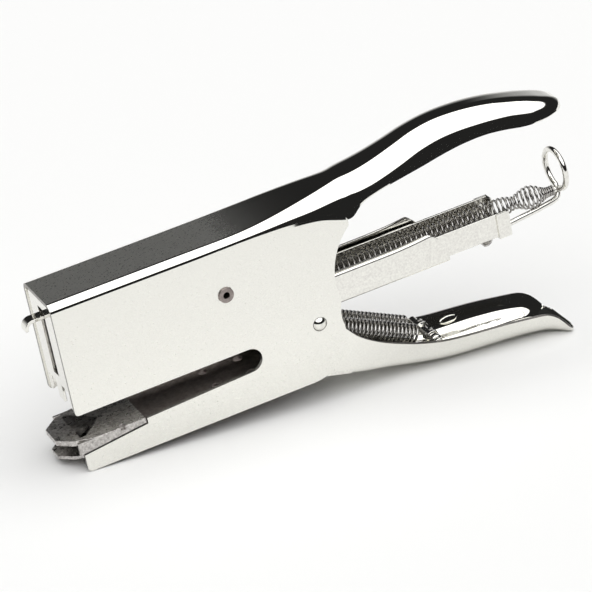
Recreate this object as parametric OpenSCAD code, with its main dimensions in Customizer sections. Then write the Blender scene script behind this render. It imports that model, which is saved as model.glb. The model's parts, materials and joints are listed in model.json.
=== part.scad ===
// Plier stapler: a one-piece sheet-steel body with a throat between two rigid jaws, a hinged lever
// that swings a drive arm and driver, and a rear-loading magazine that swings down onto the paper.
// The pieces are drawn with the jaw heel at z = 0 and x running from the jaw front to the handles,
// then every node is tipped onto its two resting points: the jaw heel and the tail of the lever.

/* [Body shell] */
// Height of the roof above the underside of the lower jaw
body_h = 47; // [44:0.5:57]
// Length of the side plates, from the jaw front to their rear edge
plate_l = 73.4; // [72:0.2:80]
// Gauge of the body sheet
body_gauge = 1.0; // [0.8:0.1:1.2]
// Bend radius of the roof edges
roof_r = 2.4; // [1.6:0.2:3]
// Half width of the upper handle along its grip
grip_half_w = 8.1; // [7:0.1:9]
// Reach of the upper handle behind the side plates
grip_l = 73; // [61:1:88]
// Height of the handle hump above the roof
grip_rise = 8.6; // [7:0.2:10.4]

/* [Jaws] */
// Depth of the throat
throat_l = 50.5; // [42:0.5:52]
// Height of the upper jaw's edge above the jaw heel
throat_top = 16.2; // [14:0.1:19.5]
// Height of the throat at its round end
throat_h = 6.5; // [5.6:0.1:7.4]
// Height of the anvil face above the jaw heel
anvil_z = 8.5; // [7:0.1:9]
// Thickness of the anvil plate
anvil_t = 1.4; // [1:0.1:1.8]
// Length of the anvil plate ahead of the jaw front
anvil_nose = 4.9; // [4:0.1:6]
// Length of the anvil plate behind the jaw front
anvil_l = 17.4; // [14:0.2:20]

/* [Pivot and travel] */
// Distance of the main rivet behind the jaw front
pivot_x = 67.3; // [64:0.1:69]
// Diameter of the main rivet
pivot_d = 3.2; // [2.6:0.1:3.9]
// Diameter of the hollow rivet
eyelet_d = 3.0; // [2.4:0.1:3.6]
// Lever swing, open to squeezed, in degrees
squeeze_deg = 13; // [9:0.5:13.5]
// Radial clearance of a running fit
run_gap = 0.05; // [0.02:0.01:0.1]
// Side clearance between sheet parts that slide past each other
side_gap = 0.2; // [0.15:0.05:0.3]

/* [Lever] */
// Gauge of the lever sheet
lever_gauge = 0.8; // [0.6:0.1:1]
// Length of the lever from the pivot to its tail
lever_l = 71; // [62:1:84]
// Outside diameter of the return springs
spring_d = 5.6; // [4.6:0.1:6.8]
// Wire diameter of the return springs
spring_wire = 0.8; // [0.6:0.1:1]

/* [Magazine] */
// Length of the magazine channel
mag_l = 104; // [98:1:112]
// Height of the channel walls
mag_wall_h = 7.7; // [7.4:0.1:8.2]
// Gauge of the channel sheet
mag_gauge = 0.7; // [0.6:0.05:0.8]
// Length of the staple rail
rail_l = 122; // [113:1:131]
// Outside width of a staple
staple_w = 12.7; // [10.6:0.1:15.3]
// Length of a staple leg
staple_leg = 6; // [5:0.5:6]
// Thickness of the staple wire
staple_t = 0.5; // [0.4:0.05:0.6]
// Length of the loaded strip of staples
strip_l = 25.5; // [10:0.5:40]
// Wire diameter of the puller
puller_d = 1.6; // [1.3:0.1:2]
// Mean radius of the pull ring
ring_r = 5.4; // [4.6:0.1:6.4]
// Outside diameter of the feed spring in the rail
feed_d = 5.2; // [4.4:0.2:6]
// Wire diameter of the feed spring
feed_wire = 0.5; // [0.4:0.05:0.6]

/* [Hidden] */
$fn = 48;

// Half widths from the staples outwards: magazine, lever cheeks, shell
mag_in = staple_w / 2 + 0.15;
mag_half = mag_in + mag_gauge;
lever_in = mag_half + side_gap;
lever_half = lever_in + lever_gauge;
shell_in = lever_half + side_gap;
shell_half = shell_in + body_gauge;
body_w = 2 * shell_half;
roof_in_z = body_h - body_gauge;

// The main rivet sits just under the upper jaw's edge, and the magazine rests close above it
pivot_z = throat_top - 0.6;
mag_z = pivot_z + pivot_d / 2 + 0.4;

// Lower jaw
jaw_nose_h = 5;
throat_r = throat_h / 2;
web_z = anvil_z - anvil_t;
web_t = 1.0;
corner_r = 1.2;
anchor_tab_out = lever_in - 0.25;

// Rivets through the body, and what the eyelet has to clear
eyelet_x = throat_l - 6;
eyelet_z = body_h - 13.9;

// Lever floor: its low points behind the pivot, and the springs' two anchors
tail_drop = 15.2;
tail_x = pivot_x + lever_l;
anchor_x = pivot_x + 2.2;
anchor_z = pivot_z - 4.1;
anchor_d = 2.4;
hook_x = pivot_x + 31.8;
hook_z = pivot_z - 19;
spring_y = spring_d / 2 + 0.3;
spring_ends = [3.2, 4.8];

// Front: plate, driver and magazine nose stand one behind the other
front_x = 0.3;
front_t = 0.7;
driver_t = 0.6;
driver_x = front_x + front_t + 0.15;
nose_x = driver_x + driver_t + 0.95;
groove_x = driver_x + driver_t / 2;
tongue_half = 1.6;
tongue_z = body_h - 5.6;

// The drive arm turns about the pivot, so the swing gives the driver its stroke
driver_stroke = (pivot_x - groove_x) * sin(squeeze_deg) + (tongue_z - pivot_z) * (1 - cos(squeeze_deg));
slot_low = tongue_z - driver_stroke - 1.6;
arm_half = lever_in;
arm_gauge = 0.8;
arm_top = roof_in_z - 0.5;
arm_back = pivot_x - 5.2;
arm_rivet_xs = [arm_back - 2.4, arm_back - 12];
arm_rivet_z = arm_top - 2.4;
arm_front = driver_x + driver_t + 5.5;
curl_r = 2.3;
curl_out = 2.7;

// Magazine stack
mag_floor = mag_z + mag_gauge;
rail_gauge = 0.6;
rail_half = staple_w / 2 - staple_t - 0.05;
rail_top = mag_floor + 6.5;
crown_z = rail_top + 0.05;
wire_y = 1.9 - rail_half;
wire_z = mag_floor + rail_gauge + puller_d / 2 + 0.1;
rail_end = nose_x + rail_l;
clip_t = 0.5;
pusher_x = nose_x + strip_l;
pusher_l = 8;
feed_z = rail_top - 1.9;
ring_x = rail_end + 18.4;
ring_z = mag_z + 10.4;
ring_start = -72;
ring_end = 258;
puller_bend = [[rail_end + 1, wire_y, wire_z], [rail_end + 6, wire_y + 0.9, wire_z - 0.1],
               [ring_x - 2.2, -0.5, wire_z - 0.2], [ring_x - 0.1, 0, wire_z + 1.2],
               [ring_x, ring_r * cos(ring_start), ring_z + ring_r * sin(ring_start)]];

// The stapler stands on the jaw heel and on the low point of the lever's tail
stand_deg = atan2(tail_drop, tail_x - 2.6 - corner_r);
front_reach = -curl_out * cos(stand_deg) - (tongue_z - curl_r) * sin(stand_deg) - curl_r;
grip_tip_x = plate_l + grip_l;
rear_reach = grip_tip_x * cos(stand_deg) - (body_h - 3.8) * sin(stand_deg);
heel_lift = corner_r * (1 - cos(stand_deg)) - corner_r * sin(stand_deg);

module standing()
    translate([-(front_reach + rear_reach) / 2, 0, heel_lift])
        rotate([0, -stand_deg, 0])
            children();

// ---- Curves and sections ----

// Points on an arc in the side view, from angle a0 to a1
function arc(c, r, a0, a1, n = 8) =
    [for (i = [0:n]) c + r * [cos(a0 + (a1 - a0) * i / n), sin(a0 + (a1 - a0) * i / n)]];

function between(p0, p1, p2, p3, t) =
    0.5 * (2 * p1 + (p2 - p0) * t + (2 * p0 - 5 * p1 + 4 * p2 - p3) * t * t
    + (3 * p1 - p0 - 3 * p2 + p3) * t * t * t);

// A smooth run through knots, n steps from each knot to the next
function smooth(k, n) =
    [for (i = [0:len(k) - 2]) for (j = [0:n - 1])
        between(k[max(i - 1, 0)], k[i], k[i + 1], k[min(i + 2, len(k) - 1)], j / n),
     k[len(k) - 1]];

// One gutter section: across (y) and into the hollow (n), outside first and then back inside
function gutter_edge(w, r, d, n) = concat(
    [[-w, d]],
    [for (i = [0:n]) [-w + r - r * cos(90 * i / n), r - r * sin(90 * i / n)]],
    [for (i = [0:n]) [w - r + r * sin(90 * i / n), r - r * cos(90 * i / n)]],
    [[w, d]]);
function reversed(v) = [for (i = [len(v) - 1:-1:0]) v[i]];
function gutter_section(w, r, d, g, n) = concat(
    gutter_edge(w, r, d, n),
    reversed([for (p = gutter_edge(w - g, max(r - g, 0.3), d - g, n)) [p[0], p[1] + g]]));

// A sheet gutter swept along a side-view path. Each knot is [x, z, half width, bend, depth];
// side is 1 where the hollow is below the sheet, and -1 where it is above.
module gutter(knots, gauge, side, steps = 4, bend_steps = 5) {
    path = smooth(knots, steps);
    count = len(path);
    ring = 2 * (2 * bend_steps + 4);
    points = [for (i = [0:count - 1])
        let (a = path[max(i - 1, 0)], b = path[min(i + 1, count - 1)],
             t = [b[0] - a[0], b[1] - a[1]] / norm([b[0] - a[0], b[1] - a[1]]),
             out = side * [-t[1], t[0]], p = path[i])
        for (q = gutter_section(p[2], min(p[3], p[2] - 0.2, p[4] - 0.1), p[4], gauge, bend_steps))
            [p[0] - out[0] * q[1], q[0], p[1] - out[1] * q[1]]];
    quads = concat(
        [for (i = [0:count - 2]) for (j = [0:ring - 1])
            [i * ring + j, i * ring + (j + 1) % ring, (i + 1) * ring + (j + 1) % ring, (i + 1) * ring + j]],
        [for (j = [0:ring / 2 - 2]) [j + 1, j, ring - 1 - j, ring - 2 - j]],
        [for (j = [0:ring / 2 - 2]) [for (k = [j, j + 1, ring - 2 - j, ring - 1 - j]) k + (count - 1) * ring]]);
    faces = [for (q = quads) for (f = [[q[0], q[1], q[2]], [q[0], q[2], q[3]]]) f];
    polyhedron(points, side > 0 ? faces : [for (f = faces) reversed(f)]);
}

// A flat sheet part that stands upright, from its side-view outline
module upright(y0, y1)
    translate([0, y1, 0])
        rotate([90, 0, 0])
            linear_extrude(y1 - y0)
                children();

// The same part on both sides of the middle plane
module both_sides() {
    children();
    mirror([0, 1, 0]) children();
}

module cross_bar(x, z, r, half_l)
    translate([x, 0, z])
        rotate([90, 0, 0])
            cylinder(h = 2 * half_l, r = r, center = true);

function unit(v) = v / norm(v);
function heading(path, i) = unit(path[min(i + 1, len(path) - 1)] - path[max(i - 1, 0)]);
function square_to(v, t) = unit(v - (v * t) * t);

// A round wire along a path; each ring's first corner is carried along so that the wire doesn't twist
module tube(path, r, sides = 12) {
    count = len(path);
    firsts = [for (i = 0, v = [0, 0, 1]; i < count;
                   i = i + 1, v = i < count ? square_to(v, heading(path, i)) : v) v];
    points = [for (i = [0:count - 1])
        let (t = heading(path, i), u = square_to(firsts[i], t), w = cross(t, u))
        for (k = [0:sides - 1])
            path[i] + r * (cos(360 * k / sides) * u + sin(360 * k / sides) * w)];
    last = (count - 1) * sides;
    polyhedron(points, concat(
        [for (i = [0:count - 2]) for (k = [0:sides - 1])
            let (a = i * sides + k, b = i * sides + (k + 1) % sides)
            for (f = [[a, a + sides, b + sides], [a, b + sides, b]]) f],
        [for (k = [1:sides - 2]) [0, k, k + 1]],
        [for (k = [1:sides - 2]) [last, last + k + 1, last + k]]));
}

// ---- Body ----

module plate_outline()
    difference() {
        offset(r = corner_r)
            offset(delta = -corner_r)
                polygon(concat(
                    [[0, body_h - roof_r], [0, 0], [plate_l - 10.4, 0]],
                    arc([plate_l - 10.4, 11.6], 11.6, -80, -10, 8),
                    [[plate_l, pivot_z]],
                    arc([plate_l + 18.6, 25.2], 18.4, 195, 128, 8),
                    [[plate_l - 1.6, body_h - 5.2], [plate_l - 14, body_h - roof_r - 0.2]]));
        throat_outline();
    }

// The throat widens a little towards the anvil, and its end is round
module throat_outline() {
    hull() {
        translate([throat_l - throat_r, throat_top - throat_r])
            circle(r = throat_r);
        translate([anvil_l - 1, anvil_z - 0.1])
            square([0.5, throat_top - anvil_z + 0.1]);
    }
    polygon([[-1, throat_top], [anvil_l + 0.3, throat_top], [anvil_l + 0.3, web_z - 0.1],
             [0, jaw_nose_h], [-1, jaw_nose_h]]);
}

function handle_knots() =
    let (x = plate_l, h = body_h, top = body_h + grip_rise, w = shell_half, g = grip_half_w, s = grip_l / 73)
    [[0, h, w, roof_r, 6], [x - 48, h, w, roof_r, 6], [x - 23, h, w, roof_r, 6],
     [x - 10, h + 0.9, w, 3.6, 7.4], [x - 1, h + 1.9, w, 5.8, 9.2], [x + 6, h + 2.6, w - 0.1, 7.4, 8.8],
     [x + 13 * s, h + 3.6, w - 0.5, 7.2, 6.6], [x + 25 * s, h + 5.6, g + 0.2, 6.8, 6.6],
     [x + 33 * s, top - 0.6, g, 6.8, 7], [x + 42 * s, top, g, 6.6, 6.7],
     [x + 52 * s, top - 0.8, g, 6.6, 6.6], [x + 61 * s, top - 2.9, g, 6.4, 6.2],
     [x + 67 * s, top - 4.9, g - 1.1, 5.2, 4.6], [x + 71 * s, top - 6.7, g - 3.4, 3.4, 2.8],
     [x + 73 * s, top - 8.2, g - 6.1, 1.4, 1.6]];

module body_shell()
    color("gainsboro")
        standing()
            difference() {
                union() {
                    both_sides()
                        upright(shell_in, shell_half)
                            plate_outline();
                    gutter(handle_knots(), body_gauge, 1);
                }
                cross_bar(pivot_x, pivot_z, pivot_d / 2, shell_half + 1);
                cross_bar(eyelet_x, eyelet_z, eyelet_d / 2, shell_half + 1);
            }

// The inner jaw: a folded channel whose web carries the anvil, with two tabs for the spring anchor
module jaw_channel()
    color("darkgray")
        standing()
            difference() {
                union() {
                    translate([1, -shell_in, web_z - web_t])
                        cube([plate_l - 15.4, 2 * shell_in, web_t]);
                    both_sides()
                        upright(shell_in - 0.7, shell_in)
                            polygon([[1, 0.8], [plate_l - 14.4, 0.8], [plate_l - 14.4, web_z],
                                     [anvil_l + 3, web_z], [1, jaw_nose_h]]);
                    translate([plate_l - 15, -anchor_tab_out, web_z - web_t])
                        cube([4, 2 * anchor_tab_out, web_t]);
                    both_sides()
                        upright(anchor_tab_out - 0.7, anchor_tab_out)
                            hull() {
                                translate([anchor_x, anchor_z])
                                    circle(r = anchor_d / 2 + 0.8);
                                translate([plate_l - 14.4, web_z - web_t])
                                    square([3.4, web_t]);
                            }
                }
                cross_bar(anchor_x, anchor_z, anchor_d / 2, shell_half);
                for (x = [throat_l - 11.8, throat_l - 2])
                    both_sides()
                        translate([x, 4.4, 0])
                            cylinder(h = web_z + 1, r = 1.3);
                translate([0, -shell_half - 1, jaw_nose_h - 0.6])
                    rotate([0, -7, 0])
                        cube([anvil_l, 2 * shell_half + 2, 3]);
            }

// The jaw nose seen from above: full width behind, two facets a side in front
module nose_outline(half, length)
    polygon([[length, -half], [length, half], [3.8, half], [3.3 - anvil_nose, half - 2.1],
             [-anvil_nose, half - 5.4], [-anvil_nose, 5.4 - half], [3.3 - anvil_nose, 2.1 - half],
             [3.8, -half]]);

// Anvil: a hardened plate over the jaw, its sides folded down, with a pair of clinch grooves
module anvil_plate()
    color("silver")
        standing()
            difference() {
                union() {
                    translate([0, 0, anvil_z - anvil_t])
                        linear_extrude(anvil_t)
                            nose_outline(shell_half - 0.5, anvil_l);
                    both_sides()
                        upright(shell_half - 0.5 - 0.9, shell_half - 0.5)
                            polygon([[-1, anvil_z - 0.2], [anvil_l, anvil_z - 0.2], [anvil_l, web_z],
                                     [0, jaw_nose_h + 0.1], [-1, jaw_nose_h + 0.1]]);
                }
                for (s = [-1, 1])
                    translate([groove_x, s * 3.6, anvil_z + 0.5])
                        rotate([90, 0, 0])
                            cylinder(h = 5.4, r = 0.9, center = true);
                translate([6.9, 0, anvil_z - 0.3])
                    cylinder(h = 1, r = 0.9);
                both_sides()
                    translate([10.6, shell_half - 2, anvil_z - 1])
                        cube([1.2, 3, 2]);
            }

// The tongue under the anvil, which closes the jaw nose
module anvil_support()
    color("gray")
        standing()
            union() {
                translate([0, 0, jaw_nose_h - 2.4])
                    linear_extrude(0.9)
                        nose_outline(shell_in - 0.8, 14);
                translate([4, -4, jaw_nose_h - 1.5])
                    cube([8, 8, web_z - web_t - jaw_nose_h + 1.5]);
            }

module front_plate()
    color("whitesmoke")
        standing()
            difference() {
                union() {
                    translate([front_x, 0, 0])
                        rotate([90, 0, 90])
                            linear_extrude(front_t)
                                polygon([[-shell_in, throat_top + 0.8], [shell_in, throat_top + 0.8],
                                         [shell_in, body_h - roof_r], [shell_in - roof_r, roof_in_z - 0.1],
                                         [roof_r - shell_in, roof_in_z - 0.1], [-shell_in, body_h - roof_r]]);
                    both_sides()
                        translate([front_x, shell_in - 0.6, throat_top + 0.8])
                            cube([6, 0.6, 20]);
                }
                translate([-1, -tongue_half - 0.3, slot_low])
                    cube([3, 2 * tongue_half + 0.6, tongue_z - slot_low + 1.6]);
                both_sides()
                    translate([-1, 1.8, throat_top])
                        cube([3, mag_in - 1.8, 5.6]);
            }

module pivot_rivet()
    color("silver")
        standing()
            both_sides() {
                translate([pivot_x, 0, pivot_z])
                    rotate([-90, 0, 0])
                        cylinder(h = shell_half, r = pivot_d / 2);
                translate([pivot_x, shell_half, pivot_z])
                    intersection() {
                        translate([0, -1.1, 0])
                            sphere(r = 2.1);
                        rotate([-90, 0, 0])
                            cylinder(h = 2, r = 3);
                    }
            }

module eyelet_rivet()
    color("dimgray")
        standing()
            translate([eyelet_x, 0, eyelet_z])
                rotate([90, 0, 0])
                    difference() {
                        union() {
                            cylinder(h = body_w, r = eyelet_d / 2, center = true);
                            both_heads()
                                translate([0, 0, shell_half])
                                    cylinder(h = 0.5, r = eyelet_d / 2 + 0.5);
                        }
                        cylinder(h = body_w + 4, r = eyelet_d / 2 - 0.65, center = true);
                    }

module both_heads() {
    children();
    mirror([0, 0, 1]) children();
}

module spring_anchor_pin()
    color("dimgray")
        standing()
            cross_bar(anchor_x, anchor_z, anchor_d / 2, anchor_tab_out + 0.2);

// ---- Lever ----

function floor_knots() =
    let (x = pivot_x, s = (lever_l - 12) / 59, w = lever_half, low = tail_drop)
    [[x - 0.4, -0.7, w, 1.6, 13], [x + 5, -2.3, w, 1.8, 14.6], [x + 9, -3.9, w, 2.2, 11.8],
     [x + 12 + 6 * s, -6.1, w, 3.4, 8.8], [x + 12 + 15 * s, -8.7, w, 4.6, 7.3],
     [x + 12 + 24 * s, -11, w, 5.8, 7.4], [x + 12 + 35 * s, -12, w, 6, 6.9],
     [x + 12 + 44 * s, -12.8, w, 6, 6.4], [x + 12 + 51 * s, -13.7, w + 0.1, 5, 6],
     [x + 12 + 55 * s, 0.6 - low, w + 0.3, 2.6, 3.8], [x + 12 + 58 * s, -low, w + 0.1, 0.9, 1.3]];

module cheek_outline()
    offset(r = 1)
        offset(delta = -1)
            polygon([[pivot_x - 0.2, -0.2], [pivot_x + 6.4, -2], [pivot_x + 8.2, 5],
                     [pivot_x + 4.9, pivot_z - 4.2], [pivot_x + 5.2, pivot_z + 9],
                     [pivot_x + 1.5, arm_top - 6], [arm_back, arm_top - 0.4],
                     [eyelet_x - 3.5, arm_top - 1], [eyelet_x - 3.5, arm_top - 4],
                     [eyelet_x + 6.6, arm_top - 5.4], [pivot_x - 8, pivot_z + 9],
                     [pivot_x - 5, pivot_z + 1], [pivot_x - 3.4, pivot_z - 9]]);

module lever()
    color("gainsboro")
        standing()
            difference() {
                union() {
                    gutter(floor_knots(), lever_gauge, -1);
                    both_sides()
                        upright(lever_in, lever_half)
                            cheek_outline();
                }
                cross_bar(pivot_x, pivot_z, pivot_d / 2 + run_gap, body_w);
                cross_bar(hook_x, hook_z, anchor_d / 2, body_w);
                for (x = arm_rivet_xs)
                    cross_bar(x, arm_rivet_z, 0.9, body_w);
            }

// Drive arm: a channel under the roof that ends in a curled tongue through the front plate
module arm_outline()
    polygon([[arm_back, arm_top - 0.2], [arm_back, arm_top - 4.6], [eyelet_x + 8, arm_top - 5.4],
             [eyelet_x - 4, arm_top - 5.2], [arm_front + 8, tongue_z - 2.6], [arm_front, tongue_z - 1.6],
             [arm_front, tongue_z], [eyelet_x - 2, arm_top]]);

module drive_arm()
    color("silver")
        standing()
            difference() {
                union() {
                    difference() {
                        upright(-arm_half, arm_half)
                            arm_outline();
                        upright(-arm_half + arm_gauge, arm_half - arm_gauge)
                            translate([0, -arm_gauge])
                                offset(delta = 0.01)
                                    polygon([[arm_back + 1, arm_top], [arm_back + 1, 0], [0, 0],
                                             [0, tongue_z], [arm_front, tongue_z],
                                             [eyelet_x - 2, arm_top]]);
                    }
                    upright(-tongue_half, tongue_half)
                        tongue_outline();
                }
                for (x = arm_rivet_xs)
                    cross_bar(x, arm_rivet_z, 0.9, body_w);
            }

module tongue_outline() {
    translate([-curl_out, tongue_z - arm_gauge])
        square([curl_out + arm_front + 2, arm_gauge]);
    translate([-curl_out, tongue_z - curl_r])
        difference() {
            circle(r = curl_r);
            circle(r = curl_r - arm_gauge);
            translate([0, -5])
                square(10);
            rotate(12)
                translate([-5, -10])
                    square(10);
        }
}

module arm_rivets()
    color("silver")
        standing()
            both_sides()
                for (x = arm_rivet_xs)
                    translate([x, arm_half - arm_gauge - 0.5, arm_rivet_z])
                        rotate([-90, 0, 0]) {
                            cylinder(h = arm_gauge + 0.5 + lever_gauge, r = 0.9);
                            cylinder(h = 0.5, r = 1.4);
                        }

module spring_pin()
    color("silver")
        standing()
            union() {
                cross_bar(hook_x, hook_z, anchor_d / 2, lever_half - lever_gauge / 2);
                for (s = [-1, 1])
                    translate([hook_x, s * spring_y, hook_z])
                        rotate([90, 0, 0])
                            cylinder(h = 2.4, r = 1.9, center = true);
            }

// A closely wound extension spring: its coils are rings round a thin wall, between the eyes' ends
module return_spring(y) {
    run = [hook_x - anchor_x, 0, hook_z - anchor_z];
    coil_r = (spring_d - spring_wire) / 2;
    coil_l = norm(run) - spring_ends[0] - spring_ends[1];
    turns = floor(coil_l / (spring_wire * 1.35));
    standing()
        translate([anchor_x, y, anchor_z])
            rotate([0, atan2(run[0], run[2]), 0])
                translate([0, 0, spring_ends[0]])
                    rotate_extrude($fn = 32)
                        union() {
                            translate([coil_r - 0.25, 0])
                                square([0.5, coil_l]);
                            for (i = [0:turns])
                                translate([coil_r, coil_l * i / turns])
                                    circle(r = spring_wire / 2, $fn = 12);
                        }
}

module return_spring_left()
    color("slategray")
        return_spring(-spring_y);

module return_spring_right()
    color("slategray")
        return_spring(spring_y);

// ---- Driver ----

module driver_blade()
    color("lightsteelblue")
        standing()
            difference() {
                translate([driver_x, -rail_half, crown_z + staple_t + 0.3])
                    cube([driver_t, 2 * rail_half, roof_in_z - crown_z - staple_t - 1]);
                translate([driver_x - 1, -tongue_half - 0.15, tongue_z - arm_gauge - 0.9])
                    cube([3, 2 * tongue_half + 0.3, arm_gauge + 2.3]);
            }

// ---- Magazine ----

module magazine_outline()
    polygon(concat(
        [[nose_x, mag_z], [nose_x, mag_z + mag_wall_h], [plate_l, mag_z + mag_wall_h]],
        arc([mag_l - 6, mag_z + 3.2], 6.6, 78, 0, 8),
        [[mag_l + 0.4, mag_z]]));

module magazine_channel()
    color("gainsboro")
        standing()
            difference() {
                upright(-mag_half, mag_half)
                    magazine_outline();
                translate([0, -mag_in, mag_floor])
                    cube([mag_l + 10, 2 * mag_in, 20]);
            }

// Two ears under the magazine that hang it on the main rivet
module magazine_bracket()
    color("silver")
        standing()
            difference() {
                union() {
                    both_sides()
                        upright(5.2, 6)
                            hull() {
                                translate([pivot_x, pivot_z])
                                    circle(r = pivot_d / 2 + 0.35 * pivot_d);
                                translate([pivot_x - 4, mag_z - 0.6])
                                    square([8, 0.6]);
                            }
                    translate([pivot_x - 4, -6, mag_z - 0.6])
                        cube([8, 12, 0.6]);
                }
                translate([pivot_x - 10, -body_w / 2, mag_z])
                    cube([20, body_w, 10]);
                cross_bar(pivot_x, pivot_z, pivot_d / 2 + run_gap, body_w);
            }

module staple_rail()
    color("lightgray")
        standing()
            difference() {
                translate([nose_x, -rail_half, mag_floor])
                    cube([rail_l, 2 * rail_half, rail_top - mag_floor]);
                translate([nose_x - 1, -rail_half + rail_gauge, mag_floor + rail_gauge])
                    cube([rail_l + 2, 2 * (rail_half - rail_gauge), 20]);
            }

// A folded cap that closes the rear of the rail, with a hole for the puller wire
module end_clip()
    color("whitesmoke")
        standing()
            difference() {
                translate([rail_end - 3.2, -rail_half - clip_t, mag_floor - clip_t])
                    cube([3.2 + clip_t, 2 * (rail_half + clip_t), rail_top - mag_floor + clip_t]);
                translate([rail_end - 4, -rail_half, mag_floor])
                    cube([4, 2 * rail_half, 20]);
                translate([rail_end - 1, -feed_d / 2 - 0.6, feed_z - feed_d / 2 - 0.6])
                    cube([4, feed_d + 1.2, 10]);
                translate([rail_end - 2, wire_y, wire_z])
                    rotate([0, 90, 0])
                        cylinder(h = 4, r = puller_d / 2 + 0.5);
            }

// A bent leaf under the rail that holds it in the channel
module rail_catch()
    color("silver")
        standing()
            upright(-1.6, 1.6)
                union() {
                    translate([rail_end - 12, mag_floor - 0.5])
                        square([8.6, 0.5]);
                    translate([rail_end - 5, mag_floor - 1.9])
                        difference() {
                            circle(r = 1.9);
                            circle(r = 1.4);
                            rotate(155)
                                translate([0, -4])
                                    square([4, 8]);
                        }
                }

// Staples glued side by side: an inverted U, as long as the strip
module staple_strip()
    color("silver")
        standing()
            translate([nose_x, 0, 0])
                difference() {
                    translate([0, -staple_w / 2, crown_z + staple_t - staple_leg])
                        cube([strip_l, staple_w, staple_leg]);
                    translate([-1, -staple_w / 2 + staple_t, 0])
                        cube([strip_l + 2, staple_w - 2 * staple_t, crown_z]);
                }

// The pusher: a saddle over the rail with a core inside it that runs on the puller wire
module pusher()
    color("dimgray")
        standing()
            difference() {
                union() {
                    translate([pusher_x, -staple_w / 2, crown_z])
                        cube([pusher_l, staple_w, staple_t]);
                    both_sides()
                        translate([pusher_x, staple_w / 2 - staple_t, crown_z + staple_t - staple_leg])
                            cube([pusher_l, staple_t, staple_leg]);
                    translate([pusher_x, -rail_half + rail_gauge + 0.1, mag_floor + rail_gauge + 0.1])
                        cube([pusher_l, 2 * (rail_half - rail_gauge - 0.1), crown_z - mag_floor - rail_gauge]);
                }
                translate([pusher_x - 1, wire_y, wire_z])
                    rotate([0, 90, 0])
                        cylinder(h = pusher_l + 2, r = puller_d / 2 + run_gap);
            }

// Feed spring: rings on a thin core in the rail, a waist, a bulge, and close turns on the wire
module feed_spring() {
    start = pusher_x + pusher_l;
    waist = rail_end + 2.4;
    color("slategray")
        standing()
            translate([start, 0, feed_z])
                rotate([0, 90, 0])
                    rotate_extrude($fn = 24)
                        feed_profile(waist - start, ring_x - 0.9 - start);
}

function feed_radius(u, waist, last) =
    u < waist - 3 ? (feed_d - feed_wire) / 2
    : lookup((u - waist + 3) / (last - waist + 3),
             [[0, (feed_d - feed_wire) / 2], [0.2, 1.6], [0.55, 2.7], [0.8, 1.5], [1, 1.15]]);

module feed_profile(waist, last) {
    stations = concat([0, waist - 3], [for (i = [1:10]) waist - 3 + (last - waist + 3) * i / 10]);
    polygon(concat(
        [for (u = stations) [feed_radius(u, waist, last) + feed_wire / 2, u]],
        reversed([for (u = stations) [feed_radius(u, waist, last) - feed_wire / 2, u]])));
}

// The puller: a leg that runs in the rail, a bend, a neck and a ring across the end
module puller_wire()
    color("silver")
        standing()
            tube(concat(
                [[pusher_x + 1, wire_y, wire_z], [rail_end - 10, wire_y, wire_z]],
                smooth(puller_bend, 5),
                [for (a = [ring_start + 15:15:ring_end])
                    [ring_x, ring_r * cos(a), ring_z + ring_r * sin(a)]]),
                puller_d / 2);

body_shell();
jaw_channel();
anvil_plate();
anvil_support();
front_plate();
pivot_rivet();
eyelet_rivet();
spring_anchor_pin();
lever();
drive_arm();
arm_rivets();
spring_pin();
return_spring_left();
return_spring_right();
driver_blade();
magazine_channel();
magazine_bracket();
staple_rail();
end_clip();
rail_catch();
staple_strip();
pusher();
feed_spring();
puller_wire();
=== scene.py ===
import json
import math

import bmesh
import bpy
from mathutils import Matrix, Vector
from mathutils.geometry import delaunay_2d_cdt

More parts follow.
